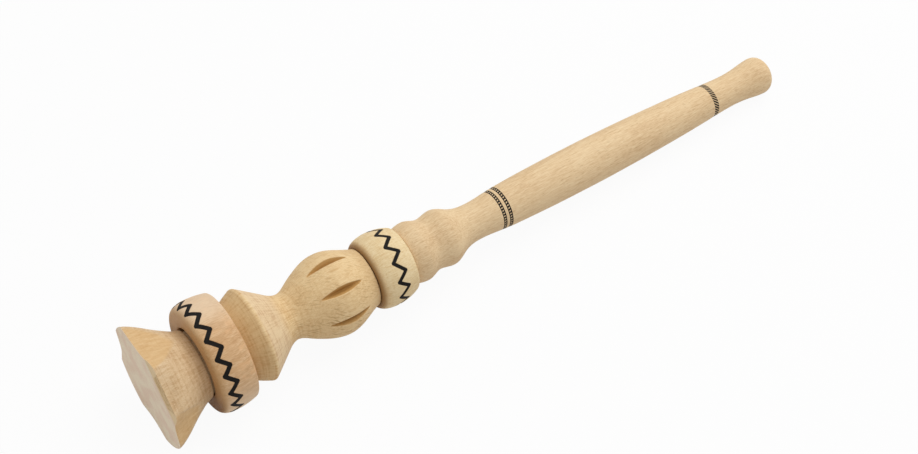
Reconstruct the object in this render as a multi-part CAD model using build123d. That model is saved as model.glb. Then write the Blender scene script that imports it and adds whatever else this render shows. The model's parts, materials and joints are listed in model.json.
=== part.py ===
from build123d import *
import math
import os

# Molinillo: a turned wooden chocolate whisk with a star foot and two loose rings. Millimetres.
#
# Every piece is turned, so each is drawn as half an outline and spun about X. X runs along the turning axis
# from the foot's end face towards the end of the handle, and Y is the radius. Angles about the axis are in
# degrees from the top (+Z) towards the front (-Y). At the end the whisk is laid down at rest, on two star
# points and its end knob, with the handle towards +X. The floor then holds the lower ring up a little, and
# the upper ring hangs on its collar.

# Fits
lower_ring_slack = 1.15  # between the ring's bore and its collar, on the radius
upper_ring_slack = 0.5
ring_end_play = 0.5  # between a loose ring and the shoulder at each side
ring_touch = 0.05  # left between a ring and what it rests on
glue_gap = 0.05  # between a tenon and its socket, on the radius
socket_relief = 1.0  # left beyond a tenon's end for spare glue

# Star foot
foot_radius = 29.0  # reach of the star points at the end face
foot_length = 22.6  # end face to the collar that the lower ring runs on
foot_stop = 1.3  # how far the flare's end stands out from the collar and holds the ring
lower_collar_radius = 14.9
valley_length = 17.5  # how far along the axis a valley runs before it leaves the flare
valley_round = 15.0  # radius of the gouge at the bottom of a valley
foot_edge_round = 0.3
# The hand-cut valleys between the star points: angle, half width in degrees, depth at the end face
valleys = ((-11, 32, 6.1), (90, 24, 5.2), (180, 22, 4.8), (270, 22, 4.8))

# Lower ring. Its front face looks towards the foot and its back face towards the handle.
lower_ring_width = 17.2
lower_ring_wall = 10.3  # bore to crown
lower_ring_crown = 6.5  # front face to crown
lower_ring_front_height = 7.1  # of the front face, from the bore out
lower_ring_back_height = 8.9
ring_lip = 1.0  # rounding at both ends of a ring's bore
ring_back_round = 1.2

# Head: double cone, waist and slotted bulb
cone_stop = 2.2  # how far the cone's root stands out from the collar and holds the ring
cone_radius = 22.2
cone_rise = 10.0  # shoulder to the edge of the double cone
cone_fall = 17.6  # that edge to the waist
waist_radius = 11.15
bulb_radius = 19.8
bulb_rise = 22.9  # waist to the widest part of the bulb
bulb_fall = 17.4  # that part to the shoulder at the upper ring
bulb_stop = 1.9  # how far the bulb's end stands out from the upper collar
slot_count = 8
slot_depth = 3.4
slot_width = 3.9
slot_turn = 34.4  # angle of the first slot
foot_tenon_radius = 7.0
foot_tenon_length = 16.0
handle_tenon_radius = 6.0
handle_tenon_length = 20.0

# Upper ring
upper_collar_radius = 12.1
upper_ring_width = 19.5
upper_ring_wall = 5.4
upper_ring_crown = 8.6
upper_ring_front_height = 1.8
upper_ring_back_height = 3.0

# Handle: two beads, grip and end knob
bead_stop = 1.1  # how far the first bead's root stands out from the upper collar
first_bead_radius = 14.7
first_bead_rise = 6.6
bead_groove_radius = 12.7
second_bead_radius = 13.87
bead_pitch = 14.8  # widest part of one bead to the widest part of the other
grip_neck_radius = 9.0
bead_to_neck = 18.0
grip_radius = 11.15
neck_to_swell = 65.0  # neck to the thickest part of the grip
swell_to_nape = 89.5  # that part to the nape before the knob
nape_radius = 8.0
knob_radius = 9.62
nape_to_knob = 19.2  # nape to the widest part of the knob
knob_cap = 6.0  # that part to the end of the handle

# Radii that follow from the pieces they fit
foot_end_radius = lower_collar_radius + foot_stop
cone_root_radius = lower_collar_radius + cone_stop
head_end_radius = upper_collar_radius + bulb_stop
bead_root_radius = upper_collar_radius + bead_stop
lower_ring_bore = lower_collar_radius + lower_ring_slack
upper_ring_bore = upper_collar_radius + upper_ring_slack

# Places along the axis
lower_ring_start = foot_length + ring_end_play
head_start = lower_ring_start + lower_ring_width + ring_end_play
head_length = cone_rise + cone_fall + bulb_rise + bulb_fall
handle_start = head_start + head_length
upper_ring_start = handle_start + ring_end_play
shoulder_at = upper_ring_start + upper_ring_width + ring_end_play
first_bead_at = shoulder_at + first_bead_rise
second_bead_at = first_bead_at + bead_pitch
neck_at = second_bead_at + bead_to_neck
swell_at = neck_at + neck_to_swell
nape_at = swell_at + swell_to_nape
knob_at = nape_at + nape_to_knob
end_at = knob_at + knob_cap


def between(low, high, share):
    """The value a share of the way from low to high."""
    return low + share * (high - low)


def fair_curve(stations):
    """Smooth outline through stations of (distance, radius, slope), each stretch one cubic arc."""
    stretches = []
    for (x0, r0, slope0), (x1, r1, slope1) in zip(stations, stations[1:]):
        reach = (x1 - x0) / 3
        near = (x0 + reach, r0 + slope0 * reach)
        far = (x1 - reach, r1 - slope1 * reach)
        stretches.append(Bezier((x0, r0), near, far, (x1, r1)))
    return stretches


def straight(*points):
    """Straight runs from point to point."""
    return [Line(a, b) for a, b in zip(points, points[1:])]


def turned(edges):
    """Spin a closed half outline about the X axis."""
    return revolve(make_face(Wire(edges)), Axis.X)


def socket(start, length, radius, towards):
    """Round hole for a tenon that enters at start and points towards +1 or -1 along X."""
    depth = length + socket_relief
    hole = Cylinder(radius + glue_gap, depth, rotation=(0, 90, 0))
    return Pos(start + towards * depth / 2, 0, 0) * hole


def valley_cutter(half_width, depth):
    """Shallow V with a round bottom, running down the flare from the end face at the top of the foot."""
    half_gap = math.radians(half_width)
    bottom = foot_radius - depth
    flank = (foot_radius * math.cos(half_gap) - bottom) / (foot_radius * math.sin(half_gap))
    wide, high = foot_radius, foot_radius
    corners = [(0, 0), (wide, wide * flank), (wide, high), (-wide, high), (-wide, wide * flank)]
    section = Polygon(*corners, align=None)
    section = fillet(section.vertices().sort_by(Axis.Y)[0], valley_round)
    fall = bottom - between(lower_collar_radius, foot_radius, 0.25)
    plane = Plane(origin=(0, 0, bottom), x_dir=(0, 1, 0), z_dir=(valley_length, 0, -fall))
    return extrude(plane * section, amount=2 * foot_length, both=True)


def star_foot():
    """Flared foot with blunt star points, the lower ring's collar and the tenon that enters the head."""
    drop = foot_radius - lower_collar_radius
    flare = fair_curve(
        [
            (0, foot_radius, -0.3),
            (0.5 * foot_length, between(lower_collar_radius, foot_radius, 0.53), -1.15 * drop / foot_length),
            (0.8 * foot_length, between(lower_collar_radius, foot_radius, 0.225), -0.95 * drop / foot_length),
            (foot_length, foot_end_radius, -0.67 * drop / foot_length),
        ]
    )
    tenon_end = head_start + foot_tenon_length
    rest = straight(
        (foot_length, foot_end_radius),
        (foot_length, lower_collar_radius),
        (head_start, lower_collar_radius),
        (head_start, foot_tenon_radius),
        (tenon_end, foot_tenon_radius),
        (tenon_end, 0),
        (0, 0),
        (0, foot_radius),
    )
    foot = turned(flare + rest)
    for angle, half_width, depth in valleys:
        foot -= Rot(X=angle) * valley_cutter(half_width, depth)
    end_face = foot.faces().sort_by(Axis.X)[0]
    return fillet(end_face.edges(), foot_edge_round)


def ring(start, width, bore, wall, crown_at, front_height, back_height):
    """Loose ring: a round shoulder up to its crown, then a gentle fall to its back face."""
    front, crown, back = bore + front_height, bore + wall, bore + back_height
    shoulder = Bezier(
        (0, front),
        (0, between(front, crown, 0.6)),
        (0.45 * crown_at, crown),
        (crown_at, crown),
    )
    fall = fair_curve([(crown_at, crown, 0), (width, back, -2 * (crown - back) / (width - crown_at))])
    rest = straight((width, back), (width, bore), (0, bore), (0, front))
    body = turned([shoulder] + fall + rest)
    circles = body.edges().filter_by(GeomType.CIRCLE)
    body = fillet(circles.sort_by(SortBy.RADIUS)[:2], ring_lip)
    back_edge = body.faces().sort_by(Axis.X)[-1].edges().sort_by(SortBy.RADIUS)[-1]
    return Pos(start, 0, 0) * fillet(back_edge, ring_back_round)


def lower_ring():
    """Thick loose ring between the foot and the double cone."""
    return ring(
        lower_ring_start,
        lower_ring_width,
        lower_ring_bore,
        lower_ring_wall,
        lower_ring_crown,
        lower_ring_front_height,
        lower_ring_back_height,
    )


def upper_ring():
    """Smaller loose ring between the bulb and the first bead."""
    return ring(
        upper_ring_start,
        upper_ring_width,
        upper_ring_bore,
        upper_ring_wall,
        upper_ring_crown,
        upper_ring_front_height,
        upper_ring_back_height,
    )


def slot_cutter(bulb_at):
    """Straight V cut along the bulb at its top. The bulb's own roundness gives the slot its pointed ends."""
    bottom = bulb_radius - slot_depth
    over = 2.0
    top_half_width = slot_width / 2 * (slot_depth + over) / slot_depth
    section = Plane.YZ * Polygon(
        (0, bottom), (top_half_width, bulb_radius + over), (-top_half_width, bulb_radius + over), align=None
    )
    return Pos(bulb_at, 0, 0) * extrude(section, amount=min(bulb_rise, bulb_fall), both=True)


def head():
    """Double cone, waist and bulb with carved slots, with a socket for a tenon at each end."""
    edge_at = head_start + cone_rise
    waist_at = edge_at + cone_fall
    bulb_at = waist_at + bulb_rise
    cone_slope = (cone_radius - cone_root_radius) / cone_rise
    fall_slope = -1.22 * (cone_radius - waist_radius) / cone_fall
    rise_slope = 1.42 * (bulb_radius - waist_radius) / bulb_rise
    end_slope = (head_end_radius - bulb_radius) / bulb_fall
    outline = fair_curve(
        [
            (head_start, cone_root_radius, 1.05 * cone_slope),
            (edge_at - 0.18 * cone_rise, cone_radius - 0.14 * cone_rise * cone_slope, 0.85 * cone_slope),
            (edge_at, cone_radius, 0),
            (edge_at + 0.1 * cone_fall, between(cone_radius, waist_radius, 0.085), fall_slope),
            (edge_at + 0.67 * cone_fall, between(cone_radius, waist_radius, 0.775), fall_slope),
            (waist_at, waist_radius, 0),
            (between(waist_at, bulb_at, 0.345), between(waist_radius, bulb_radius, 0.416), rise_slope),
            (bulb_at, bulb_radius, 0),
            (bulb_at + 0.55 * bulb_fall, between(bulb_radius, head_end_radius, 0.43), 1.38 * end_slope),
            (handle_start, head_end_radius, 1.05 * end_slope),
        ]
    )
    ends = straight(
        (handle_start, head_end_radius), (handle_start, 0), (head_start, 0), (head_start, cone_root_radius)
    )
    body = turned(outline + ends)
    cutter = slot_cutter(bulb_at)
    for k in range(slot_count):
        body -= Rot(X=slot_turn + k * 360 / slot_count) * cutter
    body -= socket(head_start, foot_tenon_length, foot_tenon_radius, towards=1)
    body -= socket(handle_start, handle_tenon_length, handle_tenon_radius, towards=-1)
    return body


def bead_stations():
    """Stations of the two beads, from the shoulder beside the upper ring towards the grip's neck."""
    root_slope = 2 * (first_bead_radius - bead_root_radius) / first_bead_rise
    fall = second_bead_radius - grip_neck_radius
    return [
        (shoulder_at, bead_root_radius, root_slope),
        (first_bead_at, first_bead_radius, 0),
        (first_bead_at + bead_pitch / 2, bead_groove_radius, 0),
        (second_bead_at, second_bead_radius, 0),
        (between(second_bead_at, neck_at, 0.36), second_bead_radius - 0.5 * fall, -2.0 * fall / bead_to_neck),
    ]


def grip_stations():
    """Stations of the long grip, from its neck to the widest part of the knob."""
    swell = grip_radius - grip_neck_radius
    taper = grip_radius - nape_radius
    flare = knob_radius - nape_radius
    return [
        (neck_at, grip_neck_radius, 0),
        (between(neck_at, swell_at, 0.26), grip_neck_radius + 0.58 * swell, 1.4 * swell / neck_to_swell),
        (swell_at, grip_radius, 0),
        (between(swell_at, nape_at, 0.54), grip_radius - 0.35 * taper, -1.0 * taper / swell_to_nape),
        (between(swell_at, nape_at, 0.81), grip_radius - 0.74 * taper, -1.7 * taper / swell_to_nape),
        (nape_at, nape_radius, 0),
        (between(nape_at, knob_at, 0.58), nape_radius + 0.5 * flare, 1.7 * flare / nape_to_knob),
        (knob_at, knob_radius, 0),
    ]


def handle():
    """Tenon, upper ring's collar, two beads, long grip and end knob."""
    cap = Bezier(
        (knob_at, knob_radius),
        (between(knob_at, end_at, 0.53), knob_radius),
        (end_at, 0.75 * knob_radius),
        (end_at, 0),
    )
    tenon_end = handle_start - handle_tenon_length
    rest = straight(
        (end_at, 0),
        (tenon_end, 0),
        (tenon_end, handle_tenon_radius),
        (handle_start, handle_tenon_radius),
        (handle_start, upper_collar_radius),
        (shoulder_at, upper_collar_radius),
        (shoulder_at, bead_root_radius),
    )
    return turned(fair_curve(bead_stations() + grip_stations()) + [cap] + rest)


def lowest(piece, lean=0.0):
    """Height of a piece's lowest point once the turning axis leans by an angle."""
    return (Rot(Y=lean) * piece).bounding_box().min.Z


def resting_lean(pieces):
    """Lean at which the knob touches the floor together with the foot, or with the ring at its highest."""
    lean = 0.0
    for _ in range(6):
        ring_at_highest = lowest(pieces["lower_ring"], lean) + lower_ring_slack - ring_touch
        front = min(lowest(pieces["star_foot"], lean), ring_at_highest)
        lean += math.degrees(math.atan((lowest(pieces["handle"], lean) - front) / knob_at))
    return lean


def ring_lift(piece, slack, floor):
    """How far a loose ring moves up until it is held, by its bore on its collar or by its rim on the floor."""
    return max(ring_touch - slack, floor + ring_touch - lowest(piece))


def laid_down(pieces):
    """Lay the whisk at rest, with the origin on the floor under the middle of its box."""
    lean = resting_lean(pieces)
    laid = {name: Rot(Y=lean) * piece for name, piece in pieces.items()}
    floor = min(lowest(laid["star_foot"]), lowest(laid["handle"]))
    for name, slack in (("lower_ring", lower_ring_slack), ("upper_ring", upper_ring_slack)):
        lift = ring_lift(laid[name], slack, floor)
        laid[name] = Pos(0, 0, lift) * laid[name]
        print(f"{name} is lifted by {lift:.4f}")
    middle = Compound(list(laid.values())).bounding_box().center()
    print(f"the axis leans {lean:.5f} degrees")
    print(f"centre of the foot's end face {-middle.X:.4f}, {-middle.Y:.4f}, {-floor:.4f}")
    return {name: Pos(-middle.X, -middle.Y, -floor) * piece for name, piece in laid.items()}


def main():
    """Build every piece, lay the whisk down and write one file per piece."""
    pieces = {
        "star_foot": star_foot(),
        "lower_ring": lower_ring(),
        "head": head(),
        "upper_ring": upper_ring(),
        "handle": handle(),
    }
    os.makedirs("parts", exist_ok=True)
    for name, piece in laid_down(pieces).items():
        export_step(piece, f"parts/{name}.step")


main()
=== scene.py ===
"""Fine shapes and finishes of a turned wooden chocolate whisk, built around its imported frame.

Every piece is drawn in turning coordinates: x in millimetres along the turning axis, from the foot's end
face towards the end of the handle, and a radius about that axis. Angles about the axis are in degrees from
the top towards the front. A piece is spun, shaped by hand-like cuts, and then laid where the frame says.
"""

import bisect
import json
import logging
import math
import random
from abc import ABC, abstractmethod
from dataclasses import dataclass, field
from enum import Enum
from functools import partialmethod
from typing import ClassVar

import bmesh
import bpy
from mathutils import Matrix, Vector, noise

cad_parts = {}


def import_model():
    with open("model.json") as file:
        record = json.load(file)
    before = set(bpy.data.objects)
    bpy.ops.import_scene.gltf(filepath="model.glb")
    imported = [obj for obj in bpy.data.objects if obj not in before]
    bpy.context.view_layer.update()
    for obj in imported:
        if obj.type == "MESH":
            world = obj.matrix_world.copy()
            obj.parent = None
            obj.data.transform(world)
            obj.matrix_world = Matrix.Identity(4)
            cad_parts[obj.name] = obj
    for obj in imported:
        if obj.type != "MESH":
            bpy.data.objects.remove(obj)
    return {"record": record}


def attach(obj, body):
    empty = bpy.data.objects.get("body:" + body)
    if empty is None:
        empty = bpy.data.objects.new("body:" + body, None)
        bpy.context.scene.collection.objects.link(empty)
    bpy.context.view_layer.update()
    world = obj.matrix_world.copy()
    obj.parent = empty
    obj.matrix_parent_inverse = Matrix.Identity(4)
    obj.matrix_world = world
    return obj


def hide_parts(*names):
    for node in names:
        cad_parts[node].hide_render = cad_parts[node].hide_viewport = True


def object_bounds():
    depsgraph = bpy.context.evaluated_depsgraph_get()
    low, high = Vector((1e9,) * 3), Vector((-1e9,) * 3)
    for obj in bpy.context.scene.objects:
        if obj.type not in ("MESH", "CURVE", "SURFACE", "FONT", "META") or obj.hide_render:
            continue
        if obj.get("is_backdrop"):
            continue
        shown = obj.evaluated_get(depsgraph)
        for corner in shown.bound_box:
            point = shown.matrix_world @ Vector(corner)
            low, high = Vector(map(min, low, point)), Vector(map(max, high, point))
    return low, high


logging.basicConfig(level=logging.INFO, format="%(message)s")
log = logging.getLogger("whisk")

MM = 0.001
SECTORS = 8  # a full turn is spun as one sector and copied round
UNBURNT = 9.0  # distance from a burnt line that is clear of it, mm
Colour = tuple[float, float, float]
Point = tuple[float, float]


class Slot(Enum):
    """The record's material slots."""

    FOOT = "foot_wood"
    LOWER_RING = "lower_ring_wood"
    HEAD = "head_wood"
    UPPER_RING = "upper_ring_wood"
    HANDLE = "handle_wood"


class Mark(Enum):
    """Values that a mesh carries for its material, one per vertex."""

    BURN = "burn_distance"
    CARVE = "carve_depth"
    END_GRAIN = "end_grain"
    CHIP = "chip"


def clamp(value: float, low: float = 0.0, high: float = 1.0) -> float:
    """The value, kept between low and high."""
    return max(low, min(high, value))


def ease(value: float, start: float, end: float) -> float:
    """Smooth step from 0 at start to 1 at end."""
    share = clamp((value - start) / (end - start))
    return share * share * (3 - 2 * share)


def between(low: float, high: float, share: float) -> float:
    """The value a share of the way from low to high."""
    return low + share * (high - low)


def turn_from(angle: float, other: float) -> float:
    """The turn to an angle from another one, between -180 and 180 degrees."""
    return (angle - other + 180) % 360 - 180


# --- outlines


@dataclass(frozen=True)
class Station:
    """A point of a turned outline, with the outline's slope there."""

    at: float  # distance along the axis
    radius: float
    slope: float = 0.0  # change of radius per mm along the axis


class Outline:
    """Half outline of a turned piece, drawn from point to point."""

    def __init__(self, at: float, radius: float) -> None:
        """Start the outline at a point."""
        self.points: list[Point] = [(at, radius)]

    def line(self, at: float, radius: float, step: float = 4.0, hold: float = 0.12) -> "Outline":
        """Straight run with a narrow row at each end, which keeps the corners crisp.

        Args:
            at: where the run ends along the axis.
            radius: radius there.
            step: longest row.
            hold: width of the narrow rows.

        Returns:
            The outline itself.
        """
        x0, r0 = self.points[-1]
        length = math.hypot(at - x0, radius - r0)
        if length <= 3 * hold:
            self.points.append((at, radius))
            return self
        count = max(1, math.ceil((length - 2 * hold) / step))
        shares = [(hold + k * (length - 2 * hold) / count) / length for k in range(count + 1)]
        self.points += [(between(x0, at, s), between(r0, radius, s)) for s in shares + [1.0]]
        return self

    def bezier(self, near: Point, far: Point, end: Point, step: float = 0.5) -> "Outline":
        """Cubic curve from the last point, cut into rows of about one step."""
        knots = self.points[-1], near, far, end
        count = max(4, math.ceil(sum(map(math.dist, knots, knots[1:])) / step))
        for k in range(1, count + 1):
            t = k / count
            weights = ((1 - t) ** 3, 3 * t * (1 - t) ** 2, 3 * t * t * (1 - t), t**3)
            self.points.append(tuple(sum(w * knot[i] for w, knot in zip(weights, knots)) for i in (0, 1)))
        return self

    def fair(self, stations: list[Station], step: float = 0.5) -> "Outline":
        """Smooth run through stations, the first of which is the last point drawn."""
        for a, b in zip(stations, stations[1:]):
            reach = (b.at - a.at) / 3
            near = (a.at + reach, a.radius + a.slope * reach)
            far = (b.at - reach, b.radius - b.slope * reach)
            self.bezier(near, far, (b.at, b.radius), step)
        return self

    def arc(self, centre: Point, radius: float, start: float, end: float, rows: int = 5) -> "Outline":
        """Round corner about a centre, from one direction to another, in degrees from +x towards the rim."""
        for k in range(rows + 1):
            turn = math.radians(between(start, end, k / rows))
            point = (centre[0] + radius * math.cos(turn), centre[1] + radius * math.sin(turn))
            if math.dist(point, self.points[-1]) > 0.01:
                self.points.append(point)
        return self


class Profile:
    """Radius of a fair curve at any distance along the axis."""

    def __init__(self, *rows: tuple[float, ...]) -> None:
        """Lay the curve through stations, each given as its place, radius and slope."""
        self.stations = [Station(*row) for row in rows]

    def radius(self, at: float) -> float:
        """Radius at a distance, held past either end."""
        first, last = self.stations[0], self.stations[-1]
        if at <= first.at:
            return first.radius
        if at >= last.at:
            return last.radius
        k = bisect.bisect_right([s.at for s in self.stations], at) - 1
        a, b = self.stations[k], self.stations[k + 1]
        width = b.at - a.at
        t = (at - a.at) / width
        return (
            a.radius * (1 - t) ** 2 * (1 + 2 * t)
            + b.radius * t * t * (3 - 2 * t)
            + width * t * (1 - t) * (a.slope * (1 - t) - b.slope * t)
        )


# --- cuts and burnt lines


@dataclass(frozen=True)
class Cut:
    """A carved trough that runs along a piece."""

    angle: float  # direction of its bottom line, degrees
    half_width: float  # half its angle about the axis where it is widest, degrees
    bottom: float  # height of its bottom line over the axis at its start
    fall: float  # drop of that line per mm along the axis
    flank: float  # rise of its sides per mm of width
    rounding: float  # radius of the gouge at the bottom
    start: float  # where it starts along the axis
    end: float  # where it has run out

    def radius(self, off: float, at: float) -> float:
        """Radius of the trough's surface at an angle off its bottom line, in degrees, found by repetition."""
        turn = abs(math.radians(off))
        far = 3 * self.bottom
        floor = self.bottom - self.fall * (at - self.start)
        tangent = self.rounding * self.flank / math.hypot(1, self.flank)
        radius = floor
        for _ in range(6):
            side = min(radius * math.sin(turn), far)
            if side < tangent:
                rise = self.rounding * math.hypot(1, self.flank) - math.sqrt(self.rounding**2 - side**2)
            else:
                rise = self.flank * side
            radius = min((floor + rise) / max(math.cos(turn), 0.3), far)
        return radius

    def edge(self, at: float, rim: float) -> float:
        """Angle off the bottom line at which the trough meets the rim, in degrees, found by halving."""
        if self.radius(0, at) >= rim:
            return 0.0
        low, high = 0.0, min(60.0, 2 * self.half_width)
        for _ in range(22):
            middle = (low + high) / 2
            low, high = (middle, high) if self.radius(middle, at) < rim else (low, middle)
        return high


@dataclass
class Zigzag:
    """Burnt zigzag line round a ring, its teeth slightly uneven in pitch and height."""

    teeth: int  # number of teeth in a full turn
    middle: float  # distance of the line's middle along the axis
    height: float  # between the corners on one side and those on the other
    stroke: float  # width of the line
    turn: float  # angle of the first corner, degrees
    tilt: float  # how far the line leans off square either way
    seed: int
    lean_turn: float = 32  # direction about which it leans, degrees

    def __post_init__(self) -> None:
        """Lay out the corners."""
        draw = random.Random(self.seed)
        pitch = 360 / self.teeth
        self.half_stroke = self.stroke / 2
        self.corners: list[Point] = []
        for k in range(2 * self.teeth):
            side = 1 if k % 2 else -1
            angle = self.turn + pitch * (k / 2 + draw.uniform(-0.05, 0.05))
            lean = self.tilt * math.sin(math.radians(angle - self.lean_turn))
            at = self.middle - lean + side * self.height / 2 * draw.uniform(0.9, 1.1)
            self.corners.append((angle, at))
        first = self.corners[0]
        self.corners.append((first[0] + 360, first[1]))
        self.angles = [corner[0] for corner in self.corners]

    def distance(self, angle: float, at: float, radius: float) -> float:
        """Distance from the middle of the line, measured square to it, with blunt mitred corners."""
        angle = self.angles[0] + (angle - self.angles[0]) % 360
        k = min(bisect.bisect_right(self.angles, angle), len(self.corners) - 1)
        (a0, x0), (a1, x1) = self.corners[k - 1], self.corners[k]
        run = math.radians(a1 - a0) * radius
        line = between(x0, x1, (angle - a0) / (a1 - a0))
        blunt = max(min(x0, x1) - at, at - max(x0, x1)) + 0.1 * self.half_stroke
        return max(abs(at - line) * run / math.hypot(run, x1 - x0), blunt)


# --- turning by hand


@dataclass
class Spot:
    """A vertex of a turned piece in turning coordinates, with the values its material reads."""

    at: float
    radius: float
    angle: float
    marks: dict[Mark, float] = field(default_factory=dict)


@dataclass(frozen=True)
class Hand:
    """The small unevenness that a turner's gouge and sandpaper leave, always inwards."""

    sway: float = 0.10  # slow drift of the radius
    ridge: float = 0.02  # height of the gouge's ridges
    pitch: float = 1.7  # distance from ridge to ridge
    seed: float = 0.0  # moves the pattern, so that no two pieces match

    def relief(self, angle: float, at: float) -> float:
        """How far the surface lies under the drawn outline, mm."""
        turn = math.radians(angle)
        x, y = math.cos(turn), math.sin(turn)
        slow = 0.5 + 0.5 * noise.noise(Vector((x * 1.1 + self.seed, y * 1.1, at / 16)))
        ripple = noise.noise(Vector((at / self.pitch, x * 0.6 + self.seed, y * 0.6)))
        return self.sway * clamp(slow) + self.ridge * clamp(0.5 + ripple)


class Columns:
    """Slides a mesh's columns round, so that some of them follow the edges of the cuts exactly."""

    def __init__(self, cuts: list[Cut], profile: Profile, least: float) -> None:
        """Keep the cuts in order of angle.

        Args:
            cuts: the cuts, whose edges at their widest fall on columns.
            profile: the turned surface that they are cut into.
            least: narrowest half width that the columns of a cut are pressed into, degrees.
        """
        self.cuts = sorted(cuts, key=lambda cut: cut.angle)
        self.profile = profile
        self.least = least
        self.rows: dict[float, list[Point]] = {}

    def anchors(self, at: float) -> list[Point]:
        """Pairs of an even angle and the angle it slides to, for one row."""
        key = round(at, 4)
        if key not in self.rows:
            pairs = []
            for cut in self.cuts:
                edge = cut.edge(at, self.profile.radius(at))
                past = ease(abs(at - clamp(at, cut.start, cut.end)), 0.0, 4.0)
                half = between(max(edge, self.least), cut.half_width, past)
                pairs.append((cut.angle - cut.half_width, cut.angle - half))
                pairs.append((cut.angle + cut.half_width, cut.angle + half))
            self.rows[key] = pairs + [(pairs[0][0] + 360, pairs[0][1] + 360)]
        return self.rows[key]

    def slide(self, angle: float, at: float) -> float:
        """The angle that a column's vertex moves to on a row."""
        pairs = self.anchors(at)
        angle = pairs[0][0] + (angle - pairs[0][0] + 1e-6) % 360
        k = min(bisect.bisect_right([pair[0] for pair in pairs], angle), len(pairs) - 1)
        (a0, b0), (a1, b1) = pairs[k - 1], pairs[k]
        return between(b0, b1, (angle - a0) / (a1 - a0))


# --- shader helpers


class Signal:
    """An output of a node tree that takes part in Python arithmetic."""

    def __init__(self, graph: "Graph", socket: bpy.types.NodeSocket | None) -> None:
        """Wrap a socket of a graph."""
        self.graph, self.socket = graph, socket

    def math(self, operation: str, *others: "Signal | float", clamped: bool = False) -> "Signal":
        """A Math node with this signal as its first value."""
        sockets = dict(enumerate((self, *others)))
        return self.graph.add("Math", sockets, operation=operation, use_clamp=clamped)

    __add__ = __radd__ = partialmethod(math, "ADD")
    __mul__ = __rmul__ = partialmethod(math, "MULTIPLY")
    __sub__ = partialmethod(math, "SUBTRACT")
    __truediv__ = partialmethod(math, "DIVIDE")

    def __rsub__(self, other: float) -> "Signal":
        """A number less this signal."""
        return self * -1.0 + other

    def clamped(self) -> "Signal":
        """The signal between 0 and 1."""
        return self.math("ADD", 0.0, clamped=True)

    def step(self, start: float, end: float, low: float = 0.0, high: float = 1.0) -> "Signal":
        """Smooth change from low to high as this signal goes from start to end, whichever is larger."""
        if start > end:
            start, end, low, high = end, start, high, low
        sockets = {"Value": self, "From Min": start, "From Max": end, "To Min": low, "To Max": high}
        return self.graph.add("MapRange", sockets, interpolation_type="SMOOTHSTEP")


class Graph:
    """The node tree of a material or a world under construction."""

    def __init__(self, owner: bpy.types.Material | bpy.types.World) -> None:
        """Empty the owner's tree."""
        owner.use_nodes = True
        self.tree = owner.node_tree
        self.tree.nodes.clear()

    def add(self, kind: str, sockets: dict | None = None, out: str | int = 0, **settings: object) -> Signal:
        """Add a node.

        Args:
            kind: the node's type, less its prefix.
            sockets: numbers, colours or signals by socket name or number.
            out: the output that is wanted.
            settings: the node's properties, set first, with a ramp's stops as "stops".

        Returns:
            That output.
        """
        node = self.tree.nodes.new("ShaderNode" + kind)
        for name, value in settings.items():
            if name == "stops":
                self.set_stops(node.color_ramp, value)
            else:
                setattr(node, name, value)
        for key, value in (sockets or {}).items():
            if isinstance(value, Signal):
                self.tree.links.new(value.socket, node.inputs[key])
            elif isinstance(value, tuple) and node.inputs[key].type == "RGBA":
                node.inputs[key].default_value = (*value[:3], 1.0)
            else:
                node.inputs[key].default_value = value
        return Signal(self, node.outputs[out] if node.outputs else None)

    @staticmethod
    def set_stops(ramp: bpy.types.ColorRamp, stops: tuple[tuple[float, Colour], ...]) -> None:
        """Give a ramp its stops."""
        while len(ramp.elements) < len(stops):
            ramp.elements.new(1.0)
        for element, (place, colour) in zip(ramp.elements, stops):
            element.position = place
            element.color = (*colour, 1.0)

    def mark(self, mark: Mark) -> Signal:
        """A value that the mesh carries."""
        return self.add("Attribute", out="Fac", attribute_name=mark.value)

    def vector(self, x: Signal | float, y: Signal | float, z: Signal | float) -> Signal:
        """A vector from three values."""
        return self.add("CombineXYZ", {"X": x, "Y": y, "Z": z})

    def noise(self, where: Signal, detail: float = 2.0, rough: float = 0.5) -> Signal:
        """Soft noise with features of about one unit, from 0 to 1."""
        return self.add("TexNoise", {"Vector": where, "Scale": 1.0, "Detail": detail, "Roughness": rough})

    def ramp(self, factor: Signal, *stops: tuple[float, Colour]) -> Signal:
        """A colour that changes from stop to stop."""
        return self.add("ValToRGB", {"Fac": factor}, stops=stops)

    def mix(self, factor: Signal | float, a: Signal | Colour, b: Signal | Colour, how: str = "MIX") -> Signal:
        """Blend two colours."""
        sockets = {0: factor, 6: a, 7: b}
        return self.add("Mix", sockets, 2, data_type="RGBA", blend_type=how, clamp_factor=True)


class TurningSpace:
    """Turning coordinates of the shaded point, in millimetres, as a material reads them."""

    def __init__(self, graph: Graph, place: Matrix) -> None:
        """Turn Object coordinates into turning coordinates.

        Args:
            graph: the material's tree.
            place: where the frame lays the piece, without scale.
        """
        self.graph = graph
        sockets = {
            "Vector": graph.add("TexCoord", out="Object"),
            "Location": tuple(place.translation),
            "Rotation": tuple(place.to_euler()),
            "Scale": (MM, MM, MM),
        }
        point = graph.add("Mapping", sockets, vector_type="TEXTURE")
        self.at, self.side, self.up = (graph.add("SeparateXYZ", {0: point}, axis) for axis in "XYZ")
        self.turn = (self.side * -1.0).math("ARCTAN2", self.up)

    def grained(self, along: float, across: float, shift: float = 0.0) -> Signal:
        """Coordinates for a pattern that runs along the grain, with cells of the given size in mm."""
        return self.graph.vector(self.at / along + shift, self.side / across, self.up / across)

    def noise(
        self, along: float, across: float, shift: float = 0.0, detail: float = 2.0, rough: float = 0.5
    ) -> Signal:
        """Soft noise from 0 to 1 whose cells run along the grain."""
        return self.graph.noise(self.grained(along, across, shift), detail, rough)

    def across(self, board_turn: float) -> Signal:
        """Distance from the axis across the board, in a direction given in degrees."""
        turn = math.radians(board_turn)
        return self.side * math.sin(turn) + self.up * math.cos(turn)


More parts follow.
